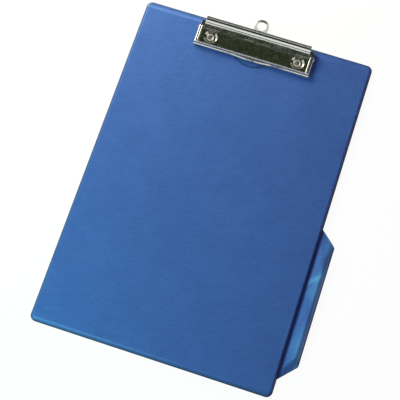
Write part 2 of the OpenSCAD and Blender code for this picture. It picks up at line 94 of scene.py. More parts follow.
def turnFaces(obj, upwards):
    # the faces of an open film are made to agree, looking up or down
    activate(obj)
    bpy.ops.object.mode_set(mode="EDIT")
    bpy.ops.mesh.select_all(action="SELECT")
    bpy.ops.mesh.normals_make_consistent(inside=False)
    bpy.ops.object.mode_set(mode="OBJECT")
    facesUp = sum(face.normal.z * face.area for face in obj.data.polygons) > 0
    if facesUp != upwards:
        obj.data.flip_normals()


def smoothBy(obj, degrees):
    activate(obj)
    bpy.ops.object.shade_smooth_by_angle(angle=math.radians(degrees))


def ease(t):
    # 0 up to t = 0, 1 from t = 1, and soft between
    t = min(max(t, 0), 1)
    return t * t * (3 - 2 * t)


def fade(place, shade):
    # a shade is its strength, where it starts to fade, and over how much it fades
    strength, start, over = shade
    return strength * (1 - ease((place - start) / over))


def markFilm(obj, name, amountAt):
    # a value from 0 to 1 at each point of a film, for its material
    layer = obj.data.attributes.new(name, "FLOAT", "POINT")
    for vertex, value in zip(obj.data.vertices, layer.data):
        value.value = amountAt(vertex.co / mm)


def stepIn(steps):
    # each step is (how far inwards, how far along the face's normal)
    for inwards, rise in steps:
        bpy.ops.mesh.inset(thickness=inwards * mm, depth=rise * mm, use_even_offset=True)


def addLoop(points, level):
    # a closed line of edges in the open edit mesh
    mesh = bmesh.from_edit_mesh(bpy.context.object.data)
    corners = [mesh.verts.new((x * mm, y * mm, level * mm)) for x, y in points]
    for i, corner in enumerate(corners):
        mesh.edges.new((corner, corners[(i + 1) % len(corners)])).select = True
    bmesh.update_edit_mesh(bpy.context.object.data)


def circleAt(middle, radius, count):
    turns = [2 * math.pi * i / count for i in range(count)]
    return [(middle[0] + radius * math.cos(a), middle[1] + radius * math.sin(a)) for a in turns]


cameraSet = {
    "place": (0.1031, -0.2998, 1.0324),         # metres
    "right": (0.9496, 0.3133, -0.0099),         # the camera's own three axes
    "up": (-0.2977, 0.9112, 0.2847),
    "back": (0.0982, -0.2674, 0.9586),
    "lens": 101.28, "sensor": 36.0,
    "nearest": 0.01, "farthest": 50,            # metres
}


def addCamera():
    s = cameraSet
    bpy.ops.object.camera_add(location=s["place"])
    camera = bpy.context.object
    camera.name = "studioCamera"
    camera.rotation_euler = Matrix([s["right"], s["up"], s["back"]]).transposed().to_euler()
    camera.data.lens = s["lens"]
    camera.data.sensor_width = s["sensor"]
    camera.data.sensor_fit = "HORIZONTAL"
    camera.data.clip_start = s["nearest"]
    camera.data.clip_end = s["farthest"]
    camera.data.dof.use_dof = False
    bpy.context.scene.camera = camera
    bpy.context.scene.view_settings.view_transform = "Standard"


addCamera()
report("camera")


def addNode(tree, kind, settings=None, links=None):
    node = tree.nodes.new(kind)
    for key, value in (settings or {}).items():
        if isinstance(key, int) or key in node.inputs:
            node.inputs[key].default_value = value
        else:
            setattr(node, key, value)
    for key, source in (links or {}).items():
        tree.links.new(source, node.inputs[key])
    return node


def newMaterial(name):
    material = bpy.data.materials.new(name)
    material.use_nodes = True
    tree = material.node_tree
    tree.nodes.clear()
    return material, tree


def finishMaterial(tree, shader):
    addNode(tree, "ShaderNodeOutputMaterial", None, {"Surface": shader.outputs[0]})


def giveMaterial(obj, material):
    obj.data.materials.clear()
    obj.data.materials.append(material)


vinylLook = {
    "face": "#385597", "deep": "#365293", "light": "#3a589b",
    "weld": "#1c3660",      # the weld line's darker tone, also the colour of painted shade at the wall's foot, on the shoulder, round the moon and beside the pocket
    "paintedSheen": "#5590c8",      # painted sheen on the pocket's film, lighter towards its outer edge and on its folds
    "mottle": 30.0,         # slow cloudiness of a calendered film
    "mottleFrom": 0.3, "mottleTo": 0.72,
    "grain": 1.5,           # embossed pebbles: real ones are about 0.8 mm and would vanish
    "grainBump": 0.5, "grainDepth": 0.2,
    "grainPaintedShade": 0.085,     # painted shade: the creases darker and the pebbles' tops paler
    "grainFrom": 0.7, "grainTo": 1.25,
    "crease": 2.4,          # creases of the leather grain, drawn out along the film
    "creaseTurn": 18, "creaseStretch": 4.5, "creaseShare": 1.1,
    "wave": 75.0,           # the film doesn't lie quite flat on the board
    "waveBump": 0.2, "waveDepth": 1.6,
    "roughness": 0.42, "roughLess": 0.05, "roughMore": 0.06,
    "sheen": 0.2,
    # painted highlight: a paler band just inside each of the board's two ends
    "endHighlight": "#7a9ce2", "endHighlightStrength": 0.24,
    "endHighlightMiddle": 166.4, "endHighlightShift": 1.6, "endHighlightInner": 0.2, "endHighlightSpread": 2.2,
    "endHighlightLeft": -60, "endHighlightRight": 90, "endHighlightRightShare": 0.1,
}


def softVinylFilm():
    # calendered soft PVC with a leather grain: satin, a little cloudy, sheen broken by pebbles
    look = vinylLook
    material, tree = newMaterial("softVinylFilm")
    place = addNode(tree, "ShaderNodeTexCoord").outputs["Object"]

    # the film's own colour, with slow clouds
    clouds = addNode(tree, "ShaderNodeTexNoise",
                     {"Scale": 1 / (look["mottle"] * mm), "Detail": 4.0, "Roughness": 0.6},
                     {"Vector": place})
    tint = addNode(tree, "ShaderNodeValToRGB", None, {"Fac": clouds.outputs["Fac"]})
    tint.color_ramp.elements[0].position = look["mottleFrom"]
    tint.color_ramp.elements[0].color = hexColour(look["deep"])
    tint.color_ramp.elements[1].position = look["mottleTo"]
    tint.color_ramp.elements[1].color = hexColour(look["light"])
    middle = tint.color_ramp.elements.new(0.5)
    middle.color = hexColour(look["face"])

    # the leather grain: pebbles and drawn creases
    pebbles = addNode(tree, "ShaderNodeTexVoronoi",
                      {"feature": "SMOOTH_F1", "Scale": 1 / (look["grain"] * mm),
                       "Smoothness": 0.7, "Randomness": 1.0}, {"Vector": place})
    drawn = addNode(tree, "ShaderNodeMapping",
                    {"vector_type": "TEXTURE", "Rotation": (0, 0, math.radians(look["creaseTurn"])),
                     "Scale": (look["creaseStretch"], 1.0, 1.0)}, {"Vector": place})
    creases = addNode(tree, "ShaderNodeTexNoise",
                      {"Scale": 1 / (look["crease"] * mm), "Detail": 3.0, "Roughness": 0.62},
                      {"Vector": drawn.outputs[0]})
    relief = addNode(tree, "ShaderNodeMath", {"operation": "MULTIPLY_ADD", 1: look["creaseShare"]},
                     {0: creases.outputs["Fac"], 2: pebbles.outputs["Distance"]})
    creaseShaded = addNode(tree, "ShaderNodeMapRange",
                     {"From Min": look["grainFrom"], "From Max": look["grainTo"],
                      "To Min": 1 - look["grainPaintedShade"], "To Max": 1 + look["grainPaintedShade"]},
                     {"Value": relief.outputs[0]})
    grained = addNode(tree, "ShaderNodeVectorMath", {"operation": "SCALE"},
                      {"Vector": tint.outputs["Color"], "Scale": creaseShaded.outputs[0]})

    # painted highlight: the paler bands by the two ends, which fade towards the right
    split = addNode(tree, "ShaderNodeSeparateXYZ", None, {"Vector": place})
    shifted = addNode(tree, "ShaderNodeMath", {"operation": "ADD", 1: look["endHighlightShift"] * mm},
                      {0: split.outputs["Y"]})
    lengthwise = addNode(tree, "ShaderNodeMath", {"operation": "ABSOLUTE"},
                         {0: shifted.outputs[0]})
    offBand = addNode(tree, "ShaderNodeMath", {"operation": "SUBTRACT", 1: look["endHighlightMiddle"] * mm},
                      {0: lengthwise.outputs[0]})
    farBand = addNode(tree, "ShaderNodeMath", {"operation": "ABSOLUTE"}, {0: offBand.outputs[0]})
    band = addNode(tree, "ShaderNodeMapRange",
                   {"interpolation_type": "SMOOTHSTEP", "From Min": look["endHighlightInner"] * mm,
                    "From Max": look["endHighlightSpread"] * mm, "To Min": look["endHighlightStrength"],
                    "To Max": 0.0}, {"Value": farBand.outputs[0]})
    handed = addNode(tree, "ShaderNodeMapRange",
                     {"From Min": look["endHighlightLeft"] * mm, "From Max": look["endHighlightRight"] * mm,
                      "To Min": 1.0, "To Max": look["endHighlightRightShare"]},
                     {"Value": split.outputs["X"]})
    endHighlight = addNode(tree, "ShaderNodeMath", {"operation": "MULTIPLY"},
                  {0: band.outputs["Result"], 1: handed.outputs["Result"]})
    bandTint = addNode(tree, "ShaderNodeMix", {"data_type": "RGBA", 7: hexColour(look["endHighlight"])},
                   {0: endHighlight.outputs[0], 6: grained.outputs[0]})

    # painted sheen on the pocket, and the weld line with painted shade, from what is marked on each
    # film
    sheenMask = addNode(tree, "ShaderNodeAttribute", {"attribute_name": "paintedPocketSheen"})
    sheenedColour = addNode(tree, "ShaderNodeMix", {"data_type": "RGBA", 7: hexColour(look["paintedSheen"])},
                    {0: sheenMask.outputs["Fac"], 6: bandTint.outputs[2]})
    weld = addNode(tree, "ShaderNodeAttribute", {"attribute_name": "weldAndPaintedShade"})
    colour = addNode(tree, "ShaderNodeMix", {"data_type": "RGBA", 7: hexColour(look["weld"])},
                     {0: weld.outputs["Fac"], 6: sheenedColour.outputs[2]})

    waves = addNode(tree, "ShaderNodeTexNoise",
                    {"Scale": 1 / (look["wave"] * mm), "Detail": 1.5, "Roughness": 0.4},
                    {"Vector": place})
    slow = addNode(tree, "ShaderNodeBump",
                   {"Strength": look["waveBump"], "Distance": look["waveDepth"] * mm},
                   {"Height": waves.outputs["Fac"]})
    fine = addNode(tree, "ShaderNodeBump",
                   {"Strength": look["grainBump"], "Distance": look["grainDepth"] * mm},
                   {"Height": relief.outputs[0], "Normal": slow.outputs[0]})
    satin = addNode(tree, "ShaderNodeMapRange",
                    {"From Min": 0.3, "From Max": 0.7,
                     "To Min": look["roughness"] - look["roughLess"],
                     "To Max": look["roughness"] + look["roughMore"]},
                    {"Value": clouds.outputs["Fac"]})
    shader = addNode(tree, "ShaderNodeBsdfPrincipled",
                     {"IOR": 1.53, "Specular IOR Level": look["sheen"], "Sheen Weight": 0.02,
                      "Sheen Roughness": 0.4},
                     {"Base Color": colour.outputs[2], "Roughness": satin.outputs[0],
                      "Normal": fine.outputs[0]})
    finishMaterial(tree, shader)
    return material


jawChrome = {
    "name": "brightChromePlate", "tone": "#dcdedb",
    "smudge": 9.0,                          # finger smears
    "roughLow": 0.05, "roughHigh": 0.17,
    "wave": 14.0, "waveBump": 0.25,         # the pressing is not quite flat
    "speckle": 0.0,                         # unevenness of the tint where the plating is dull
}
plateChrome = {
    "name": "dulledChromePlate", "tone": "#c9cabd",
    "smudge": 5.0,
    "roughLow": 0.08, "roughHigh": 0.24,
    "wave": 18.0, "waveBump": 0.06,
    "speckle": 0.38,
}
chromeLook = {
    "waveDepth": 0.3,
    "scratch": 0.35, "scratchStretch": 0.03,        # hairline polishing marks along the clip
    "scratchBump": 0.05, "scratchDepth": 0.02,
    "pit": 1.6,                                     # patches where the plating is dull
    "edge": 0.18,                                   # sheared edge that catches a light line
}


def platedSteel(own):
    # decorative chrome on pressed steel: a slightly wavy mirror with smears and rounded edges
    look = {**chromeLook, **own}
    material, tree = newMaterial(look["name"])
    place = addNode(tree, "ShaderNodeTexCoord").outputs["Object"]
    smears = addNode(tree, "ShaderNodeTexNoise",
                     {"Scale": 1 / (look["smudge"] * mm), "Detail": 5.0, "Roughness": 0.62,
                      "Distortion": 0.6}, {"Vector": place})
    rough = addNode(tree, "ShaderNodeMapRange",
                    {"From Min": 0.35, "From Max": 0.75, "To Min": look["roughLow"],
                     "To Max": look["roughHigh"]}, {"Value": smears.outputs["Fac"]})
    along = addNode(tree, "ShaderNodeMapping", {"Scale": (look["scratchStretch"], 1.0, 1.0)},
                    {"Vector": place})
    hairlines = addNode(tree, "ShaderNodeTexNoise",
                        {"Scale": 1 / (look["scratch"] * mm), "Detail": 2.0},
                        {"Vector": along.outputs[0]})
    pressed = addNode(tree, "ShaderNodeTexNoise",
                      {"Scale": 1 / (look["wave"] * mm), "Detail": 2.0}, {"Vector": place})
    pits = addNode(tree, "ShaderNodeTexNoise",
                   {"Scale": 1 / (look["pit"] * mm), "Detail": 3.0, "Roughness": 0.7},
                   {"Vector": place})
    edges = addNode(tree, "ShaderNodeBevel", {"samples": 6, "Radius": look["edge"] * mm})
    wavy = addNode(tree, "ShaderNodeBump",
                   {"Strength": look["waveBump"], "Distance": look["waveDepth"] * mm},
                   {"Height": pressed.outputs["Fac"], "Normal": edges.outputs[0]})
    fine = addNode(tree, "ShaderNodeBump",
                   {"Strength": look["scratchBump"], "Distance": look["scratchDepth"] * mm},
                   {"Height": hairlines.outputs["Fac"], "Normal": wavy.outputs[0]})
    dulled = addNode(tree, "ShaderNodeMapRange",
                     {"From Min": 0.35, "From Max": 0.65, "To Min": 1 - look["speckle"],
                      "To Max": 1.0}, {"Value": pits.outputs["Fac"]})
    plated = addNode(tree, "ShaderNodeVectorMath",
                     {"operation": "SCALE", 0: hexColour(look["tone"])[:3]},
                     {"Scale": dulled.outputs[0]})
    shader = addNode(tree, "ShaderNodeBsdfPrincipled", {"Metallic": 1.0},
                     {"Base Color": plated.outputs[0], "Roughness": rough.outputs[0],
                      "Normal": fine.outputs[0]})
    finishMaterial(tree, shader)
    return material


nickelLook = {
    "tone": "#d3d0c8",
    "mark": 0.7, "markBump": 0.12, "markDepth": 0.05,
    "roughLow": 0.14, "roughHigh": 0.3,
    "edge": 0.15,
}


def nickelPlatedSteel():
    # barrel-plated small parts: warmer and duller than chrome, with tumbling marks
    look = nickelLook
    material, tree = newMaterial("nickelPlatedSteel")
    place = addNode(tree, "ShaderNodeTexCoord").outputs["Object"]
    marks = addNode(tree, "ShaderNodeTexNoise", {"Scale": 1 / (look["mark"] * mm), "Detail": 3.0},
                    {"Vector": place})
    rough = addNode(tree, "ShaderNodeMapRange",
                    {"From Min": 0.3, "From Max": 0.7, "To Min": look["roughLow"],
                     "To Max": look["roughHigh"]}, {"Value": marks.outputs["Fac"]})
    edges = addNode(tree, "ShaderNodeBevel", {"samples": 6, "Radius": look["edge"] * mm})
    dents = addNode(tree, "ShaderNodeBump",
                    {"Strength": look["markBump"], "Distance": look["markDepth"] * mm},
                    {"Height": marks.outputs["Fac"], "Normal": edges.outputs[0]})
    shader = addNode(tree, "ShaderNodeBsdfPrincipled",
                     {"Base Color": hexColour(look["tone"]), "Metallic": 1.0},
                     {"Roughness": rough.outputs[0], "Normal": dents.outputs[0]})
    finishMaterial(tree, shader)
    return material


zincLook = {
    "dark": "#d9dcda", "light": "#f2f3f2",
    "line": 0.45, "lineStretch": 0.06,
    "roughLow": 0.42, "roughHigh": 0.55,
    "metal": 0.75,          # a chalky film over the zinc, so not wholly metal to the eye
    "edge": 0.3,
    # the ring is darker towards its far end
    "bandTint": "#262c2a", "darkEndFrom": 180.6, "darkEndTo": 182.8, "darkEndStrength": 0.85,
}


def zincPlatedStrip():
    # bright zinc on a punched strip: pale, satin, with drawing lines along its length
    look = zincLook
    material, tree = newMaterial("zincPlatedStrip")
    place = addNode(tree, "ShaderNodeTexCoord").outputs["Object"]
    along = addNode(tree, "ShaderNodeMapping", {"Scale": (1.0, look["lineStretch"], 1.0)},
                    {"Vector": place})
    lines = addNode(tree, "ShaderNodeTexNoise", {"Scale": 1 / (look["line"] * mm), "Detail": 3.0},
                    {"Vector": along.outputs[0]})
    tint = addNode(tree, "ShaderNodeValToRGB", None, {"Fac": lines.outputs["Fac"]})
    tint.color_ramp.elements[0].color = hexColour(look["dark"])
    tint.color_ramp.elements[1].color = hexColour(look["light"])
    split = addNode(tree, "ShaderNodeSeparateXYZ", None, {"Vector": place})
    bandTint = addNode(tree, "ShaderNodeMapRange",
                   {"interpolation_type": "SMOOTHSTEP", "From Min": look["darkEndFrom"] * mm,
                    "From Max": look["darkEndTo"] * mm, "To Min": 0.0,
                    "To Max": look["darkEndStrength"]}, {"Value": split.outputs["Y"]})
    darkEnd = addNode(tree, "ShaderNodeMix", {"data_type": "RGBA", 7: hexColour(look["bandTint"])},
                      {0: bandTint.outputs[0], 6: tint.outputs["Color"]})
    rough = addNode(tree, "ShaderNodeMapRange",
                    {"From Min": 0.3, "From Max": 0.7, "To Min": look["roughLow"],
                     "To Max": look["roughHigh"]}, {"Value": lines.outputs["Fac"]})
    edges = addNode(tree, "ShaderNodeBevel", {"samples": 6, "Radius": look["edge"] * mm})
    shader = addNode(tree, "ShaderNodeBsdfPrincipled", {"Metallic": look["metal"]},
                     {"Base Color": darkEnd.outputs[2], "Roughness": rough.outputs[0],
                      "Normal": edges.outputs[0]})
    finishMaterial(tree, shader)
    return material


springLook = {"dark": "#6e727a", "light": "#9da1a6", "line": 0.5, "lineStretch": 0.05}


def bluedSpringSteel():
    # hardened strip, grey with a faint oil film and rolling lines along its width
    look = springLook
    material, tree = newMaterial("bluedSpringSteel")
    place = addNode(tree, "ShaderNodeTexCoord").outputs["Object"]
    along = addNode(tree, "ShaderNodeMapping",
                    {"Scale": (1.0, look["lineStretch"], look["lineStretch"])}, {"Vector": place})
    rolling = addNode(tree, "ShaderNodeTexNoise",
                      {"Scale": 1 / (look["line"] * mm), "Detail": 3.0},
                      {"Vector": along.outputs[0]})
    tint = addNode(tree, "ShaderNodeValToRGB", None, {"Fac": rolling.outputs["Fac"]})
    tint.color_ramp.elements[0].color = hexColour(look["dark"])
    tint.color_ramp.elements[1].color = hexColour(look["light"])
    shader = addNode(tree, "ShaderNodeBsdfPrincipled", {"Metallic": 1.0, "Roughness": 0.34},
                     {"Base Color": tint.outputs["Color"]})
    finishMaterial(tree, shader)
    return material


fibreLook = {"dark": "#6f675a", "light": "#9c9383", "fleck": 0.9, "fuzz": 0.1}


def greyFibreboard():
    # pressed paper fibre: matt, flecked and slightly fuzzy
    look = fibreLook
    material, tree = newMaterial("greyFibreboard")
    place = addNode(tree, "ShaderNodeTexCoord").outputs["Object"]
    flecks = addNode(tree, "ShaderNodeTexNoise",
                     {"Scale": 1 / (look["fleck"] * mm), "Detail": 6.0, "Roughness": 0.7},
                     {"Vector": place})
    tint = addNode(tree, "ShaderNodeValToRGB", None, {"Fac": flecks.outputs["Fac"]})
    tint.color_ramp.elements[0].position = 0.35
    tint.color_ramp.elements[0].color = hexColour(look["dark"])
    tint.color_ramp.elements[1].position = 0.65
    tint.color_ramp.elements[1].color = hexColour(look["light"])
    fuzz = addNode(tree, "ShaderNodeBump", {"Strength": 0.5, "Distance": look["fuzz"] * mm},
                   {"Height": flecks.outputs["Fac"]})
    shader = addNode(tree, "ShaderNodeBsdfPrincipled", {"Roughness": 0.92},
                     {"Base Color": tint.outputs["Color"], "Normal": fuzz.outputs[0]})
    finishMaterial(tree, shader)
    return material


feltLook = {"dark": "#3d4045", "light": "#747881", "hair": 0.5, "nap": 0.15}


def pressedFelt():
    # needled felt pad: soft, dark and hairy
    look = feltLook
    material, tree = newMaterial("pressedFelt")
    place = addNode(tree, "ShaderNodeTexCoord").outputs["Object"]
    hairs = addNode(tree, "ShaderNodeTexNoise",
                    {"Scale": 1 / (look["hair"] * mm), "Detail": 5.0, "Distortion": 1.2},
                    {"Vector": place})
    tint = addNode(tree, "ShaderNodeValToRGB", None, {"Fac": hairs.outputs["Fac"]})
    tint.color_ramp.elements[0].color = hexColour(look["dark"])
    tint.color_ramp.elements[1].color = hexColour(look["light"])
    nap = addNode(tree, "ShaderNodeBump", {"Strength": 0.7, "Distance": look["nap"] * mm},
                  {"Height": hairs.outputs["Fac"]})
    shader = addNode(tree, "ShaderNodeBsdfPrincipled", {"Roughness": 0.95, "Sheen Weight": 0.4},
                     {"Base Color": tint.outputs["Color"], "Normal": nap.outputs[0]})
    finishMaterial(tree, shader)
    return material


vinyl = softVinylFilm()
chrome = platedSteel(jawChrome)
dulledChrome = platedSteel(plateChrome)
nickel = nickelPlatedSteel()
zinc = zincPlatedStrip()
springSteel = bluedSpringSteel()
fibreboard = greyFibreboard()
felt = pressedFelt()

nodeFinish = {
    "clip_plate": dulledChrome, "jaw": chrome, "hanger": zinc,
    "rivet_left": nickel, "rivet_right": nickel,
    "rivet_washer_left": nickel, "rivet_washer_right": nickel,
    "hinge_pin_left": nickel, "hinge_pin_right": nickel,
    "spring_stud_left": nickel, "spring_stud_right": nickel,
    "core_board": fibreboard, "grip_pad": felt,
}
for nodeName, finish in nodeFinish.items():
    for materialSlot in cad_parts[nodeName].material_slots:
        materialSlot.material = finish
report("materials")


# the film drawn down over the board, and welded to the back film all round
frontSet = {
    "width": 235.0, "length": 342.0, "corner": 6.0, "cornerSteps": 14,
    "thickness": 0.45, "weldTop": 0.9, "faceLevel": 4.1, "smooth": 40,
    "weld": [(0.2, 0), (0.12, -0.06), (0.2, 0), (0.13, 0.06)],      # pressed line of the weld
    "foot": [(0.17, 0.04), (0.1, 0.1), (0.06, 0.16), (0.02, 0.2)],  # film climbs to the wall
    "shoulder": 2.2, "shoulderSteps": 9, "faceRim": 0.2,
    # the pad pressed up under the film: part of a circle with a straight back, and its slope
    "moonRadius": 24.0, "moonCentre": 155.27, "moonBack": 142.1, "moonSteps": 120,
    "moonRise": [(0.3, 0), (0.3, -0.04), (0.3, 0.02), (0.35, 0.1), (0.4, 0.14), (0.4, 0.12),
                 (0.4, 0.08), (0.4, 0.04), (0.4, 0.04)],
    "rivets": [(-45.0, 150.3), (45.0, 150.3)], "rivetHole": 2.0, "rivetSteps": 32,
    # shades by height: strength, where it starts to fade, and over how much it fades
    "weldShade": (1.0, 1.5, 1.3),
    "shoulderShade": (0.42, 3.7, 0.38),
    "rearShade": (0.9, 3.98, 0.11), "rearFrom": 167.5,
    "leftShade": (0.7, 3.7, 0.38), "leftFrom": -113.5,
    "pocketShare": 0.15, "pocketFrom": 113, "pocketSpan": (-152, -6),
    # painted shade in the groove round the moon, by the distance inside its rim
    "grooveShade": (0.8, 1.9, 1.3), "grooveEdge": 0.5,
}


def moonRing(inwards):
    # the moon's arc, set in from its rim, with its ends on the straight back
    s = frontSet
    radius = s["moonRadius"] - inwards
    half = math.acos((s["moonCentre"] - s["moonBack"]) / radius)
    turns = [-half + 2 * half * i / s["moonSteps"] for i in range(s["moonSteps"] + 1)]
    return [(radius * math.sin(a), s["moonCentre"] - radius * math.cos(a)) for a in turns]


def makeMoon():
    # rings of the slope, the flat top, and the straight back
    points, faces = [], []
    inwards, level = 0, frontSet["faceLevel"]
    for step, rise in [(0, 0)] + frontSet["moonRise"]:
        inwards, level = inwards + step, level + rise
        points += [(x * mm, y * mm, level * mm) for x, y in moonRing(inwards)]
    ring = frontSet["moonSteps"] + 1
    rings = len(points) // ring
    for k in range(rings - 1):
        faces += [(k * ring + i, k * ring + i + 1, (k + 1) * ring + i + 1, (k + 1) * ring + i)
                  for i in range(ring - 1)]
    faces.append(tuple(range((rings - 1) * ring, rings * ring)))
    starts = [k * ring for k in range(rings)]
    ends = [start + ring - 1 for start in starts]
    faces.append(tuple(starts + ends[::-1]))
    return meshObject("moon", points, faces)


def makeFrontCover():
    s = frontSet
    deselectAll()
    bpy.ops.mesh.primitive_plane_add(size=1, location=(0, 0, s["weldTop"] * mm))
    cover = bpy.context.object
    cover.name = "frontCover"
    cover.scale = (s["width"] * mm, s["length"] * mm, 1)
    bpy.ops.object.transform_apply(location=True, rotation=True, scale=True)
    bpy.ops.object.mode_set(mode="EDIT")
    bpy.ops.mesh.select_mode(type="VERT")
    bpy.ops.mesh.select_all(action="SELECT")
    bpy.ops.mesh.bevel(offset=s["corner"] * mm, segments=s["cornerSteps"], affect="VERTICES",
                       clamp_overlap=False)
    bpy.ops.mesh.select_mode(type="FACE")
    bpy.ops.mesh.select_all(action="SELECT")

    # weld, foot, wall, and a quarter round for the shoulder
    stepIn(s["weld"])
    stepIn(s["foot"])
    risen = s["weldTop"] + sum(rise for inwards, rise in s["foot"])
    stepIn([(0.0, s["faceLevel"] - s["shoulder"] - risen)])
    turns = [math.pi / 2 * i / s["shoulderSteps"] for i in range(s["shoulderSteps"] + 1)]
    radius = s["shoulder"]
    stepIn([(radius * (math.cos(a) - math.cos(b)), radius * (math.sin(b) - math.sin(a)))
            for a, b in zip(turns, turns[1:])])
    stepIn([(s["faceRim"], 0)])

    # the face is opened, and filled again round the moon and the rivets' holes
    bpy.ops.mesh.delete(type="ONLY_FACE")
    mesh = bmesh.from_edit_mesh(cover.data)
    top = s["faceLevel"] * mm
    for edge in mesh.edges:
        atTop = all(abs(vertex.co.z - top) < 1e-6 for vertex in edge.verts)
        edge.select = edge.is_boundary and atTop
    bmesh.update_edit_mesh(cover.data)
    addLoop(moonRing(0), s["faceLevel"])
    for rivet in s["rivets"]:
        addLoop(circleAt(rivet, s["rivetHole"], s["rivetSteps"]), s["faceLevel"])
    bpy.ops.mesh.select_mode(type="EDGE")
    bpy.ops.mesh.fill(use_beauty=True)
    bpy.ops.object.mode_set(mode="OBJECT")

    moon = makeMoon()
    activate(cover)
    moon.select_set(True)
    bpy.ops.object.join()
    mergeDoubles(cover, 0.002)
    turnFaces(cover, upwards=True)
    applyModifier(cover, "SOLIDIFY", "wall", thickness=s["thickness"] * mm, offset=-1,
                  use_even_offset=True)
    for vertex in cover.data.vertices:      # the weld leaves the underside flat
        vertex.co.z = max(vertex.co.z, s["thickness"] * mm)
    markFilm(cover, "weldAndPaintedShade", frontShade)
    smoothBy(cover, s["smooth"])
    giveMaterial(cover, vinyl)
    return cover


def frontShade(point):
    # dark on the weld, painted shade at the wall's foot, and lighter painted shade on the shoulder
    # and round the moon
    s = frontSet
    weld = fade(point.z, s["weldShade"])
    shoulder = fade(point.z, s["shoulderShade"])
    if point.y > s["rearFrom"]:
        shoulder = fade(point.z, s["rearShade"])
    elif point.x < s["leftFrom"]:
        shoulder = fade(point.z, s["leftShade"])
    elif point.x > s["pocketFrom"] and s["pocketSpan"][0] < point.y < s["pocketSpan"][1]:
        weld, shoulder = weld * s["pocketShare"], 0
    inside = s["moonRadius"] - math.hypot(point.x, point.y - s["moonCentre"])
    groove = 0
    if point.y < s["moonBack"] and inside > 0:
        groove = ease(inside / s["grooveEdge"]) * fade(inside, s["grooveShade"])
    return max(weld, shoulder, groove)


frontCover = makeFrontCover()
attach(frontCover, "board")
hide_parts("front_cover")
report("front cover")


# one flat film for the board and the pocket's back
backSet = {
    "thickness": 0.45, "corner": 6.0, "smooth": 40,
    "mouthStart": (117.5, -3.8), "mouthCorner": (132.9, -18.0), "mouthRound": 1.5,
    "footCorner": (132.9, -135.8), "footStart": (117.5, -152.5), "footRound": 4.5,
    "weld": [(0.3, 0), (0.15, 0.08), (0.3, 0), (0.15, -0.08)], "weldWidth": 1.0,
    "washerSeat": 4.7, "washerSteps": 48,
}


def roundedOutline(corners, steps=12):
    # corners are (x, y, radius), anticlockwise; a radius of 0 stays sharp
    points = []
    for i, (x, y, radius) in enumerate(corners):
        corner = Vector((x, y))
        if radius == 0:
            points.append(corner)
            continue
        before = (Vector(corners[i - 1][:2]) - corner).normalized()
        after = (Vector(corners[(i + 1) % len(corners)][:2]) - corner).normalized()
        half = before.angle(after) / 2
        centre = corner + (before + after).normalized() * radius / math.sin(half)
        first = corner + before * radius / math.tan(half) - centre
        turn = math.pi - 2 * half
        for k in range(steps + 1):
            a = turn * k / steps
            points.append(centre + Vector((first.x * math.cos(a) - first.y * math.sin(a),
                                           first.x * math.sin(a) + first.y * math.cos(a))))
    return points


def setIn(points, distance, mitreLimit=0.3):
    # an outline moved inwards by the same distance everywhere
    moved = []
    for i, point in enumerate(points):
        a = (point - points[i - 1]).normalized()
        b = (points[(i + 1) % len(points)] - point).normalized()
        normal = (Vector((-a.y, a.x)) + Vector((-b.y, b.x))).normalized()
        mitre = max(mitreLimit, normal.dot(Vector((-a.y, a.x))))
        moved.append(point + normal * distance / mitre)
    return moved


def edgeDistance(point, a, b):
    along = (b - a).normalized()
    reach = min(max((point - a).dot(along), 0), (b - a).length)
    return (point - a - along * reach).length


def makeBackCover():
    s = backSet
    halfWidth, halfLength = frontSet["width"] / 2, frontSet["length"] / 2
    outline = roundedOutline([
        (-halfWidth, -halfLength, s["corner"]), (halfWidth, -halfLength, s["corner"]),
        (*s["footStart"], 0), (*s["footCorner"], s["footRound"]),
        (*s["mouthCorner"], s["mouthRound"]), (*s["mouthStart"], 0),
        (halfWidth, halfLength, s["corner"]), (-halfWidth, halfLength, s["corner"])])

    # the weld's pressed line in rings, and the flat film inside the last of them
    points, faces = [], []
    inwards, level = 0, 0
    for step, rise in [(0, 0)] + s["weld"]:
        inwards, level = inwards + step, level + rise
        points += [(x * mm, y * mm, level * mm) for x, y in setIn(outline, inwards)]
    ring = len(outline)
    for k in range(len(s["weld"])):
        for i in range(ring):
            j = (i + 1) % ring
            faces.append((k * ring + i, (k + 1) * ring + i, (k + 1) * ring + j, k * ring + j))
    cover = meshObject("backCover", points, faces)
    activate(cover)
    bpy.ops.object.mode_set(mode="EDIT")
    bpy.ops.mesh.select_mode(type="EDGE")
    bpy.ops.mesh.select_all(action="DESELECT")
    mesh = bmesh.from_edit_mesh(cover.data)
    mesh.verts.ensure_lookup_table()
    innermost = set(mesh.verts[len(s["weld"]) * ring:])
    for edge in mesh.edges:
        edge.select = all(vertex in innermost for vertex in edge.verts)
    bmesh.update_edit_mesh(cover.data)
    for rivet in frontSet["rivets"]:
        addLoop(circleAt(rivet, s["washerSeat"], s["washerSteps"]), 0)
    bpy.ops.mesh.fill(use_beauty=True)
    turnFaces(cover, upwards=False)
    applyModifier(cover, "SOLIDIFY", "wall", thickness=s["thickness"] * mm, offset=-1,
                  use_even_offset=True)
    for vertex in cover.data.vertices:      # its welded side stays flat
        vertex.co.z = min(vertex.co.z, s["thickness"] * mm)

    sides = [(Vector(a), Vector(b)) for a, b in zip(outline, outline[1:] + outline[:1])]

    def onWeld(point):
        return 1 if min(edgeDistance(point.xy, a, b) for a, b in sides) < s["weldWidth"] else 0

    markFilm(cover, "weldAndPaintedShade", onWeld)
    smoothBy(cover, s["smooth"])
    giveMaterial(cover, vinyl)
    return cover


backCover = makeBackCover()
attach(backCover, "board")
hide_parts("back_cover")
report("back cover")


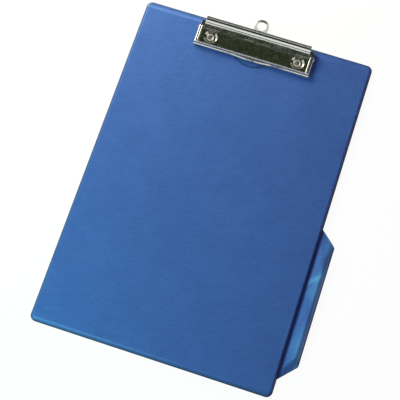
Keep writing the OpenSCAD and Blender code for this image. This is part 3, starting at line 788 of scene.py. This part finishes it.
# a strip of film wider than its seat, so it stands up between its welds
pocketSet = {
    "boardX": 117.5, "endX": 132.9, "boardSeam": 0.8, "endSeam": 1.0, "seamColumn": 0.4,
    "endColumns": [0.2, 0.4, 0.6, 0.8, 0.95, 1.0],      # shares of the end's seam
    "thickness": 0.45, "across": 40, "along": 240, "smooth": 50,
    "mouthStart": -3.8, "mouthDrop": 14.2, "footStart": -152.5, "footRise": 16.7,
    "mouthRound": 1.5, "footRound": 4.5,
    "rise": 5.3, "riseSpare": 0.1, "crown": 0.7, "boardSlope": 1.5, "endSlope": 2.2,
    "taper": 12.0, "mouthBow": 0.35, "mouthTaper": 30.0,
    # where the film gives way: middle, spread and depth along the pocket, slant across it
    "buckles": [(-52, 4.5, 0.8, 0.9), (-40, 8, 0.6, 0.3), (-88, 9, 0.7, -0.5),
                (-110, 7, 0.4, 0.4), (-25, 6, 0.3, -0.4)],
    "slantFrom": 124,
    # painted sheen across the width: strength, share of the width where it starts, over how much
    "sheenAcross": [(0.35, 0.3, 0.4), (0.55, 0.72, 0.15)],
    # painted sheen on the folds: middle, spread and strength along the pocket, slant across it
    "paintedSheen": [(-52, 3.5, 0.5, 0.9), (-36, 7, -0.35, 0.3), (-85, 10, -0.3, -0.4),
             (-66, 5, 0.15, 0.6), (-118, 9, 0.12, 0.5)],
    # painted shade beside the board, fading across the pocket, and how far the end seam's dark line
    # runs onto the film
    "boardShade": (0.12, 0, 0.5), "endShade": 0.15,
}


def cornerOf(corner, before, after, radius):
    # where a rounded corner starts, and the middle of its arc
    toBefore = (Vector(before) - Vector(corner)).normalized()
    toAfter = (Vector(after) - Vector(corner)).normalized()
    half = toBefore.angle(toAfter) / 2
    start = Vector(corner) + toBefore * radius / math.tan(half)
    centre = Vector(corner) + (toBefore + toAfter).normalized() * radius / math.sin(half)
    return start, centre


def arcHeight(radius, distance):
    return math.sqrt(max(radius * radius - distance * distance, 0))


def bumpsAt(bumps, x, y):
    total = 0
    for middle, spread, depth, slant in bumps:
        away = (y - middle - slant * (x - pocketSet["slantFrom"])) / spread
        total += depth * math.exp(-away * away)
    return total


def pocketLift(share, x, y, top, bottom):
    # height over the back film: a bow across, run out at the foot, with soft buckles
    s = pocketSet
    if share <= 0 or share >= 1:
        return 0
    if share < s["crown"]:
        bow = 1 - ((s["crown"] - share) / s["crown"]) ** s["boardSlope"]
    else:
        bow = 1 - ((share - s["crown"]) / (1 - s["crown"])) ** s["endSlope"]
    running = ease((y - bottom - s["endSeam"]) / s["taper"])
    opened = s["mouthBow"] + (1 - s["mouthBow"]) * ease((top - y) / s["mouthTaper"])
    buckle = bumpsAt(s["buckles"], x, y)
    return max(0, (s["rise"] * opened - s["riseSpare"] - buckle * opened) * bow * running)


def makePocketFront():
    s = pocketSet
    width = s["endX"] - s["boardX"]
    mouthCorner = (s["endX"], s["mouthStart"] - s["mouthDrop"])
    footCorner = (s["endX"], s["footStart"] + s["footRise"])
    mouthTurn, mouthMiddle = cornerOf(mouthCorner, (s["boardX"], s["mouthStart"]), footCorner,
                                      s["mouthRound"])
    footTurn, footMiddle = cornerOf(footCorner, (s["boardX"], s["footStart"]), mouthCorner,
                                    s["footRound"])
    bowFrom, bowTo = s["boardX"] + s["boardSeam"], s["endX"] - s["endSeam"]

    def mouthAt(x):
        if x < mouthTurn.x:
            return s["mouthStart"] - s["mouthDrop"] * (x - s["boardX"]) / width
        return mouthMiddle.y + arcHeight(s["mouthRound"], x - mouthMiddle.x)

    def footAt(x):
        if x < footTurn.x:
            return s["footStart"] + s["footRise"] * (x - s["boardX"]) / width
        return footMiddle.y - arcHeight(s["footRound"], x - footMiddle.x)

    def shareAt(x):
        return (x - bowFrom) / (bowTo - bowFrom)

    # the weld seams, and painted shade beside the board
    def weldAndShadeMark(point):
        footWeld = footAt(min(point.x, s["endX"] - 0.01)) + s["endSeam"]
        if point.x > bowTo - s["endShade"] or point.y < footWeld:
            return 1
        return fade(shareAt(point.x), s["boardShade"])

    def sheenMark(point):
        share = shareAt(point.x)
        # painted sheen, lighter towards the outer edge and on the folds
        drawn = sum(amount * ease((share - start) / over) for amount, start, over in s["sheenAcross"])
        return min(max(drawn + bumpsAt(s["paintedSheen"], point.x, point.y), 0), 1)

    columns = [s["boardX"], s["boardX"] + s["seamColumn"]]
    columns += [bowFrom + (bowTo - bowFrom) * i / s["across"] for i in range(s["across"] + 1)]
    columns += [bowTo + s["endSeam"] * share for share in s["endColumns"]]
    rows = s["along"] + 1
    points, faces = [], []
    for x in columns:
        top, bottom = mouthAt(x), footAt(x)
        for j in range(rows):
            y = top + (bottom - top) * j / s["along"]
            height = s["thickness"] + pocketLift(shareAt(x), x, y, top, bottom)
            points.append(Vector((x, y, height)) * mm)
    for i in range(len(columns) - 1):
        for j in range(rows - 1):
            a = i * rows + j
            faces.append((a, a + 1, a + rows + 1, a + rows))
    pocket = meshObject("pocketFront", points, faces)
    turnFaces(pocket, upwards=True)
    applyModifier(pocket, "SOLIDIFY", "wall", thickness=s["thickness"] * mm, offset=1)
    for vertex in pocket.data.vertices:     # nothing sinks into the back film
        vertex.co.z = max(vertex.co.z, s["thickness"] * mm)
    markFilm(pocket, "weldAndPaintedShade", weldAndShadeMark)
    markFilm(pocket, "paintedPocketSheen", sheenMark)
    smoothBy(pocket, s["smooth"])
    giveMaterial(pocket, vinyl)
    return pocket


pocketFront = makePocketFront()
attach(pocketFront, "board")
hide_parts("pocket_front")
report("pen pocket")


springSet = {"merge": 0.001, "smooth": 35}


def makeSpring(side):
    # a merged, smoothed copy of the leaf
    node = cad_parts["spring_" + side]
    leaf = node.copy()
    leaf.data = node.data.copy()
    leaf.name = "leafSpring" + side.capitalize()
    leaf.parent = None
    leaf.matrix_world = Matrix.Identity(4)
    bpy.context.collection.objects.link(leaf)
    mergeDoubles(leaf, springSet["merge"])
    smoothBy(leaf, springSet["smooth"])
    giveMaterial(leaf, springSteel)
    return leaf


for side in ("left", "right"):
    leafSpring = makeSpring(side)
    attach(leafSpring, "board")
    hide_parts("spring_" + side)
    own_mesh(leafSpring)
report("springs")


# floor, lamps and what the chrome mirrors, in metres
studioSet = {
    "worldLight": 0.2, "worldTone": "#ffdcff",
    "floorTone": "#f1f1ef", "floorWhite": 0.94, "floorSize": 12, "floorDrop": 0.0004,
    "lampAim": (0, 0.02, 0),
}
# place, size, power, tone, and whether the plating may mirror it
lampSet = {
    "keyLamp": ((-0.8, 0.24, 0.82), 0.2, 4.6, "#bee2ee", False),
    "windowLamp": ((-0.36, -0.42, 0.22), 0.36, 4.0, "#74ffda", False),
    "cornerLamp": ((-0.32, 0.38, 0.2), 0.2, 3.7, "#fff6c4", False),
    "sheenLamp": ((-0.62, 0.66, 0.44), 0.55, 3.6, "#fff6ee", True),
    "fillLamp": ((0.9, -0.9, 1.6), 1.4, 2.2, "#ffb0e8", False),
}
# cards bent round the clip: their two sides, their two heights of arc in degrees, where 0 is
# straight overhead and 90 the front's horizon, their colour, and how far off they stand
arcCards = {
    "overheadCard": ((-1.5, 4.6), (-60, -13), "#39422f", 2.4),
    "darkStrip": ((-2.6, 4.6), (24, 39), "#0c0d10", 2.4),
    "backStrip": ((-2.6, 4.6), (-88, -69), "#1d201c", 2.4),
    "frontHorizon": ((-2.6, 2.6), (52, 62.5), "#f2eee2", 2.4),
    "lipShadeLeft": ((-0.29, -0.25), (50, 62), "#10120f", 2.3),
    "lipShadeRight": ((-0.19, -0.12), (50, 62), "#10120f", 2.3),
    "frontDark": ((-2.6, 2.6), (63, 90), "#343a2c", 2.4),
}
arcSet = {"clip": (0, 0.15, 0.01), "slices": 12}
backShade = {"low": (-0.16, 0.186), "high": (0.16, 0.4), "lift": 0.0004, "colour": "#1d201c"}


def seenDirectly(tree):
    # 1 for what the eye, a mirror or glass shows, 0 for what only lights the object
    path = addNode(tree, "ShaderNodeLightPath")
    seen = addNode(tree, "ShaderNodeMath", {"operation": "MAXIMUM"},
                   {0: path.outputs["Is Camera Ray"], 1: path.outputs["Is Glossy Ray"]})
    seenToo = addNode(tree, "ShaderNodeMath", {"operation": "MAXIMUM"},
                      {0: seen.outputs[0], 1: path.outputs["Is Transmission Ray"]})
    return seenToo.outputs[0]


def studioWorld():
    world = bpy.data.worlds.new("studioWorld")
    world.use_nodes = True
    bpy.context.scene.world = world
    tree = world.node_tree
    tree.nodes.clear()
    lightOnly = addNode(tree, "ShaderNodeBackground",
                        {"Color": hexColour(studioSet["worldTone"]),
                         "Strength": studioSet["worldLight"]})
    white = addNode(tree, "ShaderNodeBackground", {"Color": (1, 1, 1, 1), "Strength": 1.0})
    mixed = addNode(tree, "ShaderNodeMixShader", None,
                    {0: seenDirectly(tree), 1: lightOnly.outputs[0], 2: white.outputs[0]})
    addNode(tree, "ShaderNodeOutputWorld", None, {"Surface": mixed.outputs[0]})


def studioFloor():
    deselectAll()
    bpy.ops.mesh.primitive_plane_add(size=studioSet["floorSize"],
                                     location=(0, 0, -studioSet["floorDrop"]))
    floor = bpy.context.object
    floor.name = "studioFloor"
    bpy.ops.object.transform_apply(location=True, rotation=True, scale=True)
    material, tree = newMaterial("paleFloor")
    amount = addNode(tree, "ShaderNodeMath",
                     {"operation": "MULTIPLY", 1: studioSet["floorWhite"]},
                     {0: seenDirectly(tree)})
    matt = addNode(tree, "ShaderNodeBsdfDiffuse", {"Color": hexColour(studioSet["floorTone"])})
    white = addNode(tree, "ShaderNodeEmission", {"Color": (1, 1, 1, 1), "Strength": 1.0})
    mixed = addNode(tree, "ShaderNodeMixShader", None,
                    {0: amount.outputs[0], 1: matt.outputs[0], 2: white.outputs[0]})
    finishMaterial(tree, mixed)
    giveMaterial(floor, material)


def paintCard(card, colour):
    # a glowing card that only reflections see
    material, tree = newMaterial(card.name + "Paint")
    glow = addNode(tree, "ShaderNodeEmission", {"Color": hexColour(colour), "Strength": 1.0})
    finishMaterial(tree, glow)
    giveMaterial(card, material)
    card.visible_camera = False
    card.visible_shadow = False
    card.visible_diffuse = False
    card.visible_transmission = False


def arcCard(name, sides, heights, colour, distance):
    deselectAll()
    slices = arcSet["slices"]
    points = []
    for i in range(slices + 1):
        a = math.radians(heights[0] + (heights[1] - heights[0]) * i / slices)
        for x in sides:
            away = Vector((x, -math.sin(a) * distance, math.cos(a) * distance))
            points.append(Vector(arcSet["clip"]) + away)
    faces = [(2 * i, 2 * i + 1, 2 * i + 3, 2 * i + 2) for i in range(slices)]
    paintCard(meshObject(name, points, faces), colour)


def floorCard(name, low, high, lift, colour):
    deselectAll()
    bpy.ops.mesh.primitive_plane_add(size=1, location=(0, 0, 0))
    card = bpy.context.object
    card.name = name
    card.scale = (high[0] - low[0], high[1] - low[1], 1)
    card.location = ((low[0] + high[0]) / 2, (low[1] + high[1]) / 2, lift)
    bpy.ops.object.transform_apply(location=True, rotation=True, scale=True)
    paintCard(card, colour)


def studioLamp(name, place, size, power, tone, mirrored):
    bpy.ops.object.light_add(type="AREA", location=place)
    lamp = bpy.context.object
    lamp.name = name
    lamp.data.color = hexColour(tone)[:3]
    lamp.data.shape = "DISK"
    lamp.data.size = size
    lamp.data.energy = power
    lamp.visible_glossy = mirrored
    aim = Vector(place) - Vector(studioSet["lampAim"])
    lamp.rotation_euler = aim.to_track_quat("Z", "Y").to_euler()


studioWorld()
studioFloor()
for cardName, card in arcCards.items():
    arcCard(cardName, *card)
floorCard("backShade", **backShade)
for lampName, lamp in lampSet.items():
    studioLamp(lampName, *lamp)
report("studio")
